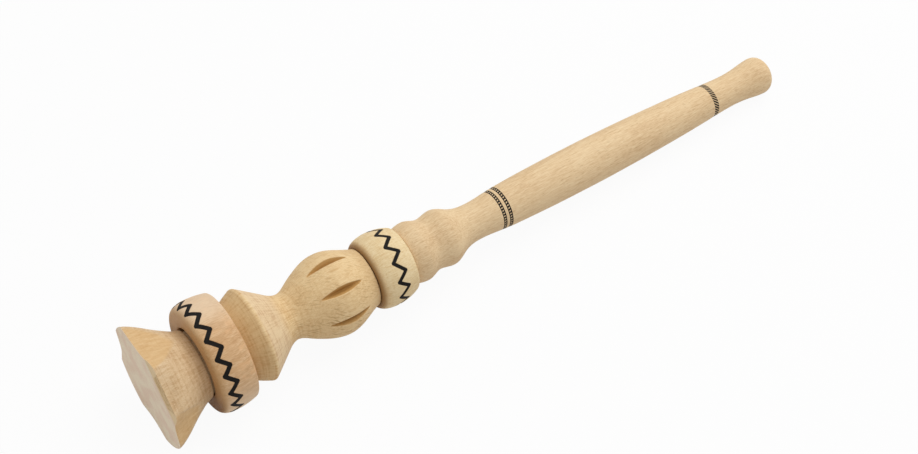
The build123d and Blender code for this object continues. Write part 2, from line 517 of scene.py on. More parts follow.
# --- finishes

SHEEN = 0.2  # specular level of bare wood
CHAR: Colour = (0.004, 0.003, 0.002)
SCORCHED: Colour = (0.24, 0.12, 0.05)
# painted shade: dark brown laid on the rings' front faces, where shade falls
PAINTED_SHADE_DARK: Colour = (0.23, 0.10, 0.02)
# painted shade: warm brown tone of the shade on the rings' front faces and shoulders
PAINTED_SHADE_WARM: Colour = (0.60, 0.34, 0.12)
BLUSH: Colour = (0.84, 0.50, 0.25)
FADED: Colour = (0.88, 0.74, 0.56)
SAWN_PALE: Colour = (0.82, 0.58, 0.30)
SAWN_MIDDLE: Colour = (0.71, 0.45, 0.20)
SAWN_DEEP: Colour = (0.60, 0.35, 0.14)
END_CLOUD: Colour = (0.90, 0.70, 0.53)
END_PORE: Colour = (0.62, 0.48, 0.36)
BROKEN_EDGE: Colour = (0.86, 0.66, 0.40)
TORN_FIBRE: Colour = (0.58, 0.38, 0.17)
# painted shade: darker brown on the cone's front flank, which faces away from the lamp
CONE_PAINTED_SHADE: Colour = (0.56, 0.37, 0.17)
# painted light: paler tone on the cone's back flank, which faces the lamp
CONE_PAINTED_LIGHT: Colour = (0.80, 0.68, 0.53)
# painted shade and dirt: darker brown at the bulb's end, next to the upper ring
BULB_END_SHADE_AND_DIRT: Colour = (0.58, 0.38, 0.18)
NICK: Colour = (0.60, 0.37, 0.15)
# cut wood's warmer tone inside the slots, partly painted shade of the recess
SLOT_TONE_AND_SHADE: Colour = (0.50, 0.27, 0.075)
# painted shade: dark brown deep in the slots
SLOT_PAINTED_SHADE: Colour = (0.33, 0.15, 0.025)


@dataclass
class Coat:
    """A piece's finish while it is built up."""

    space: TurningSpace
    colour: Signal
    height: Signal
    rough: Signal

    def tint(self, mask: Signal, colour: Signal | Colour, how: str = "MIX") -> None:
        """Lay a colour on where a mask is 1."""
        self.colour = self.space.graph.mix(mask, self.colour, colour, how)

    def char(self, mask: Signal) -> None:
        """Burn the wood black where a mask is 1."""
        self.tint(mask, CHAR)
        self.height = self.height * (1.0 - mask * 0.7)
        self.rough = self.rough + mask * 0.15


@dataclass(frozen=True)
class WoodTones:
    """Colours of one board, from its palest to its darkest streak, with its pores and its end grain."""

    pale: Colour
    middle: Colour
    deep: Colour
    fleck: Colour
    end_grain: Colour = (0.80, 0.71, 0.60)


@dataclass(frozen=True)
class WoodFinish:
    """Bare turned hardwood."""

    slot: Slot
    tones: WoodTones
    board_turn: float  # direction in which the growth rings are crossed, degrees
    ring_pitch: float = 3.4  # distance between growth rings
    flecks: float = 0.5  # how strongly the pores show
    fleck_length: float = 2.4  # length of a pore streak
    tool_lines: float = 0.5  # how strongly the gouge's fine lines show
    shift: float = 0.0  # moves the figure along the grain, so that no two pieces match
    figure: float = 1.0  # how strongly the growth rings show
    scratches: float = 0.0  # how strongly slanted sanding scratches show
    contrast: float = 1.0  # how strongly the fibres show

    def bare(self, space: TurningSpace) -> Coat:
        """Growth rings, clouds, fibres and pores, with the marks of gouge and sandpaper."""
        drift = space.noise(60, 16, self.shift) * 7.0
        arc = space.across(self.board_turn + 90) * 0.16
        depth = space.across(self.board_turn) + drift + arc * arc
        rings = (depth * (2 * math.pi / self.ring_pitch)).math("SINE") * 0.5 + 0.5
        cloud = space.noise(32, 10, self.shift + 7.3, 3.0, 0.55)
        fibre = space.noise(5.5, 0.55, self.shift + 3.1, 3.0, 0.62)
        fine = space.noise(3.0, 0.28, self.shift + 11.0, 2.0, 0.6)
        streaks = (fibre - 0.5) * 0.85 + (fine - 0.5) * 0.6
        tone = cloud * 0.55 + (rings - 0.5) * self.figure * 0.2 + streaks * self.contrast + 0.2
        stops = (0.18, self.tones.pale), (0.5, self.tones.middle), (0.86, self.tones.deep)
        pores = self.pores(space)
        lines, grid = self.gouge_lines(space)
        height = fibre * 0.03 + fine * 0.02 - lines * 0.03 * self.tool_lines - pores * 0.04
        rough = space.noise(6, 1.2, self.shift + 2.0).step(0.2, 0.8, 0.52, 0.70)
        coat = Coat(space, space.graph.ramp(tone.clamped(), *stops), height, rough)
        coat.tint(pores * self.flecks, self.tones.fleck)
        coat.tint(grid * self.tool_lines, self.tones.deep, "MULTIPLY")
        if self.scratches > 0:
            drag = self.dragged(space)
            coat.tint(drag * self.scratches, self.tones.fleck)
            coat.height = coat.height - drag * 0.04
        return coat

    def pores(self, space: TurningSpace) -> Signal:
        """Short dark streaks along the grain."""
        graph = space.graph
        where = {"Vector": space.grained(self.fleck_length * 1.3, 0.5, self.shift), "Scale": 1.0}
        near, cell = (graph.add("TexVoronoi", where, out, feature="F1") for out in ("Distance", "Color"))
        chance = graph.add("SeparateColor", {0: cell}, "Red")
        return (chance.step(0.15, 1.0, 0.05, 0.36) - near).step(0.0, 0.22)

    def gouge_lines(self, space: TurningSpace) -> tuple[Signal, Signal]:
        """Fine lines round the piece, and the grid that they make with the rays along it."""
        graph, cosine, sine = space.graph, space.turn.math("COSINE"), space.turn.math("SINE")
        lines, rays = (
            graph.noise(graph.vector(space.at / pitch + self.shift, cosine * spread, sine * spread), 1.0)
            for pitch, spread in ((0.92, 1.2), (6.0, 20))
        )
        line, ray = lines.step(0.46, 0.66), rays.step(0.46, 0.66)
        return lines, (line * 0.45 + ray * 0.45 + line * ray * 0.7).clamped()

    def dragged(self, space: TurningSpace) -> Signal:
        """Short scratches that cross the grain slantwise, where sandpaper was dragged round the piece."""
        graph, along, round_it = space.graph, space.at, space.turn * 16.0
        length = (along * 0.86 + round_it * 0.5) / 4.4
        width = (round_it * 0.86 - along * 0.5) / 0.62
        streak = graph.noise(graph.vector(length, width, self.shift), 2.0, 0.6).step(0.50, 0.68)
        patch = graph.noise(graph.vector(along / 9, round_it / 9, self.shift + 4.0), 1.0).step(0.36, 0.58)
        return streak * patch

    def dress(self, coat: Coat) -> None:
        """Add what is cut or burnt into the wood. Bare wood has nothing more."""

    def build(self, place: Matrix) -> bpy.types.Material:
        """The finished material for a piece that lies at a place."""
        material = bpy.data.materials.new(self.slot.value + "_bare")
        graph = Graph(material)
        coat = self.bare(TurningSpace(graph, place))
        self.dress(coat)
        bump = graph.add("Bump", {"Strength": 1.0, "Distance": MM, "Height": coat.height})
        sockets = {"Base Color": coat.colour, "Roughness": coat.rough, "Normal": bump}
        shader = graph.add("BsdfPrincipled", sockets | {"Specular IOR Level": SHEEN})
        graph.add("OutputMaterial", {"Surface": shader})
        return material


@dataclass(frozen=True)
class FootFinish(WoodFinish):
    """The star foot's wood, with pale end grain on its end face and cut facets between the points."""

    def dress(self, coat: Coat) -> None:
        """Add the facets' bare streaks, the end face and the chipped edge of one point."""
        graph, space = coat.space.graph, coat.space
        streak = space.noise(40, 1.1, 5.0, 3.0, 0.6)
        sawn = graph.ramp(streak, (0.25, SAWN_PALE), (0.55, SAWN_MIDDLE), (0.8, SAWN_DEEP))
        coat.tint(graph.mark(Mark.CARVE).step(0.0, 1.3) * 0.7, sawn)
        dots = space.noise(3, 0.5, 0.0, 2.0, 0.6)
        face = graph.mix(space.noise(9, 8).step(0.35, 0.65), self.tones.end_grain, END_CLOUD)
        face = graph.mix(dots.step(0.50, 0.75) * 0.4, face, END_PORE)
        end, chip = graph.mark(Mark.END_GRAIN), graph.mark(Mark.CHIP)
        coat.tint(end, face)
        torn = space.noise(2, 1.6, 0.0, 3.0, 0.65).step(0.38, 0.62)
        coat.tint(chip.step(0.1, 0.4) * end, BROKEN_EDGE)
        coat.tint(chip.step(0.6, 0.95) * (torn * 0.5 + 0.4), TORN_FIBRE)
        coat.height = coat.height * (1.0 - end * 0.6) + dots * end * 0.03
        coat.rough = coat.rough + end * 0.1


@dataclass(frozen=True)
class HeadFinish(WoodFinish):
    """The head's wood, with slots painted darker and warmer inside, partly the cut wood's tone and partly
    painted shade.
    """

    def gouge_lines(self, space: TurningSpace) -> tuple[Signal, Signal]:
        """The gouge's grid, which sanding has all but taken off the bulb."""
        lines, grid = super().gouge_lines(space)
        kept = space.at.step(84.0, 52.0, 0.3, 1.4)
        return lines * kept, grid * kept

    def dragged(self, space: TurningSpace) -> Signal:
        """The sanding scratches, which show on the bulb, least on its top."""
        kept = space.at.step(62.0, 76.0, 0.25, 1.0) * space.up.step(15.0, 2.0, 0.5, 1.0)
        return super().dragged(space) * kept

    def dress(self, coat: Coat) -> None:
        """Paint shade on the cone's front flank and light on its back flank, paint shade and dirt at the
        bulb's end, tan a nick on the bulb, and paint the slots darker inside, with painted shade as they
        deepen.
        """
        at, turn = coat.space.at, coat.space.turn
        # painted shade on the cone's front flank
        coat.tint(at.step(51.0, 49.0) * at.step(38.0, 41.0) * 0.45, CONE_PAINTED_SHADE)
        # painted light on the cone's back flank
        coat.tint(at.step(50.5, 52.5) * at.step(66.0, 60.0) * 0.28, CONE_PAINTED_LIGHT)
        # painted shade and dirt towards the bulb's end, where the upper ring sits
        coat.tint(at.step(101.5, 108.7) * 0.45, BULB_END_SHADE_AND_DIRT)
        along, across = (at - 92.0) / 3.2, (turn - 0.11) * 30.0
        coat.tint((along * along + across * across).step(1.0, 0.1) * 0.5, NICK)
        depth = coat.space.graph.mark(Mark.CARVE)
        # warmer, darker tone inside the slots, partly painted shade
        coat.tint(depth.step(0.02, 0.45) * 0.85, SLOT_TONE_AND_SHADE)
        # painted shade: darker as the slots deepen
        coat.tint(depth.step(0.8, 2.8) * 0.6, SLOT_PAINTED_SHADE)


@dataclass(frozen=True)
class RingFinish(WoodFinish):
    """A loose ring's wood with its burnt zigzag."""

    half_stroke: float = 1.0  # half the burnt line's width
    face_at: float = 0.0  # place of the front face along the axis
    shade_reach: float = 2.2  # how far the painted shade reaches from it
    shade_strength: float = 1.0  # how dark the painted shade is
    shade_top_share: float = 0.4  # share of the painted shade that is left on the upper side
    blush: float = 0.0  # how strongly warm spots show
    fade: float = 0.0  # how pale the board's outer sides are
    heart_off: float = 3.0  # distance of the board's heart from the axis

    def dress(self, coat: Coat) -> None:
        """Pale the sides, paint shade on the front face and its shoulder, warm towards its edge and darker on
        the lower side, and char the zigzag, ragged along the fibres.
        """
        space = coat.space
        coat.tint(space.noise(5, 4).step(0.52, 0.68) * self.blush, BLUSH)
        off = space.across(self.board_turn) + self.heart_off
        coat.tint((off * off).step(40.0, 560.0) * self.fade, FADED)
        # painted shade: warm brown over the front face and shoulder, reaching a little past the dark shade
        coat.tint(space.at.step(self.face_at + 1.7 * self.shade_reach, self.face_at) * 0.4, PAINTED_SHADE_WARM)
        # painted shade: darkens the front face and fades over the shoulder, stronger on the lower side
        painted_shade = space.at.step(self.face_at + self.shade_reach, self.face_at - 0.1)
        coat.tint(painted_shade * space.up.step(8.0, -14.0, self.shade_top_share, 1.0) * self.shade_strength, PAINTED_SHADE_DARK)
        distance = space.graph.mark(Mark.BURN) + (space.noise(0.9, 0.35, 1.0) * 0.16 - 0.08)
        coat.tint(distance.step(self.half_stroke + 0.35, self.half_stroke - 0.1) * 0.28, SCORCHED)
        coat.char(distance.step(self.half_stroke + 0.06, self.half_stroke - 0.06))


@dataclass(frozen=True)
class ChainBand:
    """A burnt band round the handle with a row of light links left in it."""

    middle: float  # distance of its middle along the axis
    width: float
    links: int  # number of links in a full turn
    link_height: float  # length of a link along the axis
    slant: float  # how far a link leans, in links per mm
    crowding: float  # how narrow a link is round the handle

    def mask(self, space: TurningSpace) -> Signal:
        """1 where the band is charred."""
        off = space.at - self.middle
        away = off.math("ABSOLUTE")
        band = away.step(self.width / 2 + 0.05, self.width / 2 - 0.05)
        cell = space.turn * (self.links / (2 * math.pi)) + off * self.slant
        place = (cell.math("FRACT") - 0.5) * 2.0
        tall = away / (self.link_height / 2)
        light = (place * place * self.crowding + tall * tall).step(1.2, 0.8)
        return band * (1.0 - light * 0.95)


@dataclass(frozen=True)
class HandleFinish(WoodFinish):
    """The handle's wood with its burnt bands."""

    bands: tuple[ChainBand, ...] = ()

    def dress(self, coat: Coat) -> None:
        """Char the bands."""
        first, *others = (band.mask(coat.space) for band in self.bands)
        coat.char(sum(others, first))


# --- pieces


def placed(name: str, data: bpy.types.ID) -> bpy.types.Object:
    """A new object in the scene."""
    made = bpy.data.objects.new(name, data)
    bpy.context.scene.collection.objects.link(made)
    return made


def meshed(name: str, bm: bmesh.types.BMesh) -> bpy.types.Object:
    """A new object in the scene with the shape of a bmesh, which is freed."""
    mesh = bpy.data.meshes.new(name)
    bm.to_mesh(mesh)
    bm.free()
    return placed(name, mesh)


@dataclass
class TurnedPiece(ABC):
    """A turned piece of the whisk."""

    node: str  # the frame's node that it stands for
    body: str  # the body that it rides on
    finish: WoodFinish
    place: Matrix  # where its turning axis lies, without scale
    hand: Hand
    steps: int = 360  # columns of its mesh in a full turn
    first_turn: float = 0.0  # direction of the mesh's first column, degrees
    closed: ClassVar[bool] = False  # whether the outline's end joins its start
    marks: ClassVar[tuple[Mark, ...]] = ()

    @abstractmethod
    def outline(self) -> Outline:
        """The piece's half outline."""

    @abstractmethod
    def outside(self, spot: Spot) -> float:
        """1 on the open surface and 0 in bores, sockets and joints."""

    def carve(self, spot: Spot) -> None:
        """Shape one vertex. Plain turning only leaves the hand's unevenness on the outside."""
        relief = self.outside(spot) * self.hand.relief(spot.angle, spot.at)
        spot.radius -= min(relief, 0.02 * spot.radius)

    def spin(self) -> bmesh.types.BMesh:
        """The outline, spun to a closed surface in millimetres."""
        bm = bmesh.new()
        side = math.radians(self.first_turn)
        verts = [bm.verts.new((x, -r * math.sin(side), r * math.cos(side))) for x, r in self.outline().points]
        pairs = list(zip(verts, verts[1:]))
        if self.closed:
            pairs.append((verts[-1], verts[0]))
        edges = [bm.edges.new(pair) for pair in pairs]
        sector = 2 * math.pi / SECTORS
        bmesh.ops.spin(bm, geom=verts + edges, axis=(1, 0, 0), angle=sector, steps=self.steps // SECTORS)
        while sector < 2 * math.pi - 1e-6:
            copy = bmesh.ops.duplicate(bm, geom=bm.verts[:] + bm.edges[:] + bm.faces[:])["geom"]
            moved = [item for item in copy if isinstance(item, bmesh.types.BMVert)]
            bmesh.ops.rotate(bm, cent=(0, 0, 0), matrix=Matrix.Rotation(sector, 3, "X"), verts=moved)
            sector *= 2
        bmesh.ops.remove_doubles(bm, verts=bm.verts, dist=1e-4)
        return bm

    def shape(self, bm: bmesh.types.BMesh) -> None:
        """Carve each vertex of the spun piece and set the marks that the material reads."""
        layers = {mark: bm.verts.layers.float.new(mark.value) for mark in self.marks}
        for vert in bm.verts:
            radius = math.hypot(vert.co.y, vert.co.z)
            spot = Spot(vert.co.x, radius, math.degrees(math.atan2(-vert.co.y, vert.co.z)))
            self.carve(spot)
            turn = math.radians(spot.angle)
            vert.co = (spot.at, -spot.radius * math.sin(turn), spot.radius * math.cos(turn))
            for mark, layer in layers.items():
                vert[layer] = spot.marks.get(mark, 0.0)

    def build(self) -> bpy.types.Object:
        """Model the piece, dress it and hand it to the frame."""
        bm = self.spin()
        self.shape(bm)
        bmesh.ops.recalc_face_normals(bm, faces=bm.faces)
        for face in bm.faces:
            face.smooth = True
        bmesh.ops.transform(bm, matrix=self.place @ Matrix.Scale(MM, 4), verts=bm.verts)
        piece = meshed(self.node + "_turned", bm)
        piece.data.materials.append(self.finish.build(self.place))
        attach(piece, self.body)
        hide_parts(self.node)
        log.info("%s: %d faces, rides on %s", piece.name, len(piece.data.polygons), self.body)
        return piece


@dataclass
class StarFoot(TurnedPiece):
    """Flared foot with four blunt star points, the lower ring's collar and the tenon into the head."""

    reach: float = 29.0  # radius of the points
    length: float = 22.6  # length of the flare
    collar: float = 14.9  # radius of the collar
    stop: float = 16.2  # radius of the step that stops the ring
    collar_end: float = 40.8  # where the collar ends along the axis
    tenon: float = 7.0  # radius of the tenon
    tenon_end: float = 56.8  # where the tenon ends along the axis
    edge_round: float = 0.35  # rounding of the end face's edge
    # direction and half width in degrees, and depth, of each valley
    valley_sizes: tuple[tuple[float, float, float], ...] = (
        (-11, 32, 6.1), (90, 24, 5.2), (180, 22, 4.8), (270, 22, 4.8)
    )
    valley_length: float = 17.5  # how far the valleys run up the flare
    valley_round: float = 15.0  # radius of the gouge that cut them
    chip_turn: float = 43.5  # direction of the worn and chipped point, degrees
    chip_from: float = 19.4  # distance from the axis at which the chipped step starts
    chip_radius: float = 25.6  # distance from the axis that the worn point still reaches
    chip_soft: float = 2.6  # how softly the worn edge runs out
    chip_half: float = 62  # half the worn point's angle about the axis, degrees
    chip_length: float = 14.0  # how far the wear reaches up the flare
    marks = (Mark.CARVE, Mark.END_GRAIN, Mark.CHIP)

    def __post_init__(self) -> None:
        """Work out the flare and the valleys."""
        drop = self.reach - self.collar
        self.profile = Profile(
            (0, self.reach, -0.3),
            (0.5 * self.length, self.collar + 0.53 * drop, -1.15 * drop / self.length),
            (0.8 * self.length, self.collar + 0.225 * drop, -0.95 * drop / self.length),
            (self.length, self.stop, -0.42),
        )
        self.valleys = [self.valley(*size) for size in self.valley_sizes]
        self.columns = Columns(self.valleys, self.profile, least=2.5)

    def valley(self, angle: float, half_width: float, depth: float) -> Cut:
        """One hand-cut valley between two star points."""
        gap = math.radians(half_width)
        bottom = self.reach - depth
        flank = (self.reach * math.cos(gap) - bottom) / (self.reach * math.sin(gap))
        fall = (bottom - between(self.collar, self.reach, 0.25)) / self.valley_length
        return Cut(angle, half_width, bottom, fall, flank, self.valley_round, 0.0, self.valley_length)

    def outline(self) -> Outline:
        """End face, rounded edge, flare, collar and tenon."""
        corner, flat = self.edge_round, self.reach - self.edge_round
        outline = Outline(0, 0).line(0, self.chip_from - 1.5, 3.0).line(0, flat, 0.5)
        outline.arc((corner, flat), corner, 180, 90)
        outline.fair([Station(corner, self.profile.radius(corner), -0.3), *self.profile.stations[1:]], 0.4)
        outline.line(self.length, self.collar, 1.0).line(self.collar_end, self.collar, 2.0)
        outline.line(self.collar_end, self.tenon, 2.0).line(self.tenon_end, self.tenon)
        return outline.line(self.tenon_end, 0, 2.0)

    def outside(self, spot: Spot) -> float:
        """The flare and the end face's rim."""
        return ease(spot.at, self.length, self.length - 1.5)

    def carve(self, spot: Spot) -> None:
        """Cut the valleys down the flare and chip the near point's edge."""
        row = spot.at
        rim_share = clamp(spot.radius / self.reach)
        on_end = row < self.edge_round * 0.6
        if row <= self.length and (on_end or spot.radius > self.stop - 0.1):
            slid = turn_from(self.columns.slide(spot.angle, row), spot.angle)
            spot.angle += slid * ease(rim_share, 0.3, 0.75)
            turned = cut_radius = self.profile.radius(max(row, 0.0))
            for valley in self.valleys:
                off = turn_from(spot.angle, valley.angle)
                if abs(off) < 60:
                    cut_radius = min(cut_radius, valley.radius(off, row))
            share = cut_radius / turned
            spot.marks[Mark.CARVE] = turned - cut_radius
            spot.radius *= between(1.0, share, ease(rim_share, 0.45, 0.9)) if on_end else share
        spot.marks[Mark.END_GRAIN] = 1.0 if on_end else 0.0
        super().carve(spot)
        self.chip(spot, on_end)

    def chip(self, spot: Spot, on_end: bool) -> None:
        """Wear the near point round and leave a shallow broken step along its end face."""
        off = turn_from(spot.angle, self.chip_turn)
        if abs(off) > self.chip_half or spot.at > self.chip_length:
            return
        reach = spot.radius * math.cos(math.radians(off))
        blunt = self.chip_radius - 0.12 * spot.at
        share = clamp(0.5 + 0.5 * (reach - blunt) / self.chip_soft)
        worn = between(reach, blunt, share) - self.chip_soft * share * (1 - share)
        kept = ease(spot.at, self.chip_length, 4.0) * ease(abs(off), self.chip_half, 48)
        worn = between(reach, worn, kept)
        spot.radius *= worn / max(reach, 0.1)
        broken = ease(worn, self.chip_from - 0.3, self.chip_from + 0.3)
        depth = broken * (0.4 + 0.06 * (worn - self.chip_from))
        spot.at += depth * clamp(1 - spot.at / 2.5)
        if on_end:
            spot.marks[Mark.CHIP] = broken * between(0.5, 1.0, ease(abs(off - 2), 23, 18))


@dataclass
class LooseRing(TurnedPiece):
    """A loose ring with a round shoulder, a gentle fall to its back face and a burnt zigzag."""

    start: float = 23.1  # place of its front face along the axis
    width: float = 17.2
    bore: float = 16.05  # radius of the hole
    crown: float = 26.35  # largest radius
    crown_at: float = 6.5  # distance of the crown from the front face
    front: float = 23.15  # radius at the front face
    back: float = 24.95  # radius at the back face
    lip: float = 1.0  # rounding of the hole's edges
    back_round: float = 1.2  # rounding of the back face's edge
    groove: float = 0.18  # depth of the burnt line
    zigzag: Zigzag | None = None
    closed = True
    marks = (Mark.BURN,)

    def outline(self) -> Outline:
        """Bore, front face, shoulder, fall and back face, joined up."""
        x0, x1, lip = self.start, self.start + self.width, self.lip
        top = (x0 + self.crown_at, self.crown)
        rise = self.crown - self.front
        end_slope = -2 * (self.crown - self.back) / (self.width - self.crown_at)
        lean = math.atan(-end_slope)
        fall = Profile(top, (x1, self.back, end_slope))
        touch = x1 - self.back_round * (1 - math.sin(lean))
        radius = fall.radius(touch)
        outline = Outline(x0 + lip, self.bore).arc((x0 + lip, self.bore + lip), lip, 270, 180)
        outline.line(x0, self.front, 1.2)
        outline.bezier((x0, self.front + 0.6 * rise), (x0 + 0.45 * self.crown_at, self.crown), top, 0.3)
        outline.fair([fall.stations[0], Station(touch, radius, end_slope)], 0.3)
        centre = (x1 - self.back_round, radius - self.back_round * math.cos(lean))
        outline.arc(centre, self.back_round, 90 - math.degrees(lean), 0).line(x1, self.bore + lip, 1.2)
        return outline.arc((x1 - lip, self.bore + lip), lip, 0, -90).line(x0 + lip + 0.5, self.bore, 2.5)

    def outside(self, spot: Spot) -> float:
        """Everything but the bore."""
        return ease(spot.radius, self.bore + 0.3, self.bore + 2.0)

    def carve(self, spot: Spot) -> None:
        """Leave the hand's unevenness and press the burnt line in."""
        drawn = spot.radius
        super().carve(spot)
        half = self.zigzag.half_stroke
        on_rim = drawn > self.front - 0.5
        distance = self.zigzag.distance(spot.angle, spot.at, drawn) if on_rim else UNBURNT
        spot.marks[Mark.BURN] = distance
        spot.radius -= self.groove * ease(distance, half + 0.12, half - 0.25)


@dataclass
class SlottedHead(TurnedPiece):
    """Double cone, waist and slotted bulb, with a socket at each end."""

    profile: Profile = Profile(  # the outside, from the foot's shoulder to the bulb's end
        (40.8, 17.1, 0.536),
        (49.0, 21.49, 0.434),
        (50.8, 22.2, 0.0),
        (52.56, 21.26, -0.766),
        (62.6, 13.64, -0.766),
        (68.4, 11.15, 0.0),
        (76.3, 14.75, 0.536),
        (91.3, 19.8, 0.0),
        (100.87, 17.31, -0.46),
        (108.7, 14.0, -0.35),
    )
    foot_socket: Point = (7.05, 57.8)  # radius of the foot's socket and where it ends
    handle_socket: Point = (6.05, 87.7)  # radius of the handle's socket and where it starts
    slot_count: int = 8
    slot_turn: float = 34.4  # direction of the first slot, degrees
    slot_half: float = 6.0  # half a slot's angle about the axis, degrees
    slot_bottom: float = 16.4  # height of its bottom over the axis
    slot_flank: float = 1.74  # rise of its sides per mm of width
    slot_round: float = 0.45  # radius of its bottom
    slot_ends: Point = (78.0, 104.0)  # where it starts and ends along the axis
    marks = (Mark.CARVE,)

    def __post_init__(self) -> None:
        """Work out the slots."""
        self.start, self.end = self.profile.stations[0].at, self.profile.stations[-1].at
        self.first_turn = self.slot_turn % 1.0
        shape = self.slot_half, self.slot_bottom, 0.0, self.slot_flank, self.slot_round
        turns = [turn_from(self.slot_turn + k * 360 / self.slot_count, 0) for k in range(self.slot_count)]
        self.slots = [Cut(turn, *shape, *self.slot_ends) for turn in turns]
        self.columns = Columns(self.slots, self.profile, least=0.9)

    def outline(self) -> Outline:
        """Outside from the cone to the bulb's end, and the two sockets."""
        (wide, deep), (narrow, high) = self.foot_socket, self.handle_socket
        outline = Outline(deep, 0).line(deep, wide, 2.5).line(self.start, wide)
        outline.line(self.start, self.profile.stations[0].radius, 2.5).fair(self.profile.stations, 0.45)
        return outline.line(self.end, narrow, 2.0).line(high, narrow).line(high, 0, 2.5)

    def outside(self, spot: Spot) -> float:
        """The outside, not the sockets or the end faces."""
        ends = ease(spot.at, self.start, self.start + 1), ease(spot.at, self.end, self.end - 1)
        return ease(spot.radius, 9.0, 10.5) * ends[0] * ends[1]

    def carve(self, spot: Spot) -> None:
        """Cut the eight slots along the bulb."""
        drawn = self.profile.radius(spot.at)
        if spot.radius < drawn - 0.05 or not self.start < spot.at < self.end:
            return
        spot.angle = self.columns.slide(spot.angle, spot.at)
        super().carve(spot)
        cut_radius = spot.radius
        for slot in self.slots:
            off = turn_from(spot.angle, slot.angle)
            if abs(off) < 2 * slot.half_width and slot.start < spot.at < slot.end:
                cut_radius = min(cut_radius, slot.radius(off, spot.at))
        spot.marks[Mark.CARVE] = spot.radius - cut_radius
        spot.radius = cut_radius


@dataclass
class Handle(TurnedPiece):
    """Tenon, upper ring's collar, two beads, long grip with burnt bands, and end knob."""

    tenon: float = 6.0  # radius of the tenon
    tenon_ends: Point = (88.7, 108.7)  # where it starts and ends along the axis
    collar: float = 12.1  # radius of the upper ring's collar
    profile: Profile = Profile(  # the outside, from the first bead to the knob
        (129.2, 13.2, 0.4545),
        (135.8, 14.7, 0.0),
        (143.2, 12.7, 0.0),
        (150.6, 13.87, 0.0),
        (157.08, 11.435, -0.541),
        (168.6, 9.0, 0.0),
        (185.5, 10.25, 0.0463),
        (233.6, 11.15, 0.0),
        (281.93, 10.05, -0.0352),
        (306.1, 8.82, -0.0598),
        (323.1, 8.0, 0.0),
        (334.24, 8.81, 0.1434),
        (342.3, 9.62, 0.0),
    )
    knob: tuple[Point, ...] = ((345.48, 9.62), (348.3, 7.2), (348.3, 0))  # its curve, up to the axis
    band_recess: float = 0.07  # how far the bands are pressed in

    def outline(self) -> Outline:
        """Tenon, collar, beads, grip and knob."""
        (low, high), stations = self.tenon_ends, self.profile.stations
        shoulder = stations[0].at
        outline = Outline(low, 0).line(low, self.tenon, 2.0).line(high, self.tenon)
        outline.line(high, self.collar, 2.0).line(shoulder, self.collar, 2.0)
        outline.line(shoulder, stations[0].radius, 1.0)
        outline.fair(stations[:7], 0.5).fair(stations[6:9], 1.0).fair(stations[8:], 0.6)
        return outline.bezier(*self.knob)

    def outside(self, spot: Spot) -> float:
        """From the first bead on."""
        shoulder = self.profile.stations[0].at
        return ease(spot.at, shoulder, shoulder + 1.5)

    def carve(self, spot: Spot) -> None:
        """Leave the hand's unevenness and press the bands in slightly."""
        super().carve(spot)
        for band in self.finish.bands:
            away, half = abs(spot.at - band.middle), band.width / 2
            spot.radius -= self.band_recess * ease(away, half + 0.3, half - 0.3)


# --- frame, stage and main


class TurningFrame:
    """Where the whisk's turning axis lies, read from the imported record."""

    def __init__(self, record: dict) -> None:
        """Read the foot's face, its direction and the rings' joints."""
        face = next(mount for mount in record["mounts"] if mount["name"] == "foot_face")
        along = -Vector(face["axis"]).normalized()
        lean = Matrix.Rotation(math.atan2(-along.z, along.x), 4, "Y")
        self.axis = Matrix.Translation(Vector(face["pos_m"])) @ lean
        self.joints = {joint["name"]: Vector(joint["pos_m"]) for joint in record["behaviour"]["joints"]}

    def ring_axis(self, joint: str) -> Matrix:
        """Place of a loose ring's axis, which hangs a little off the whisk's own."""
        offset = self.axis.inverted() @ self.joints[joint]
        return self.axis @ Matrix.Translation((0, offset.y, offset.z))


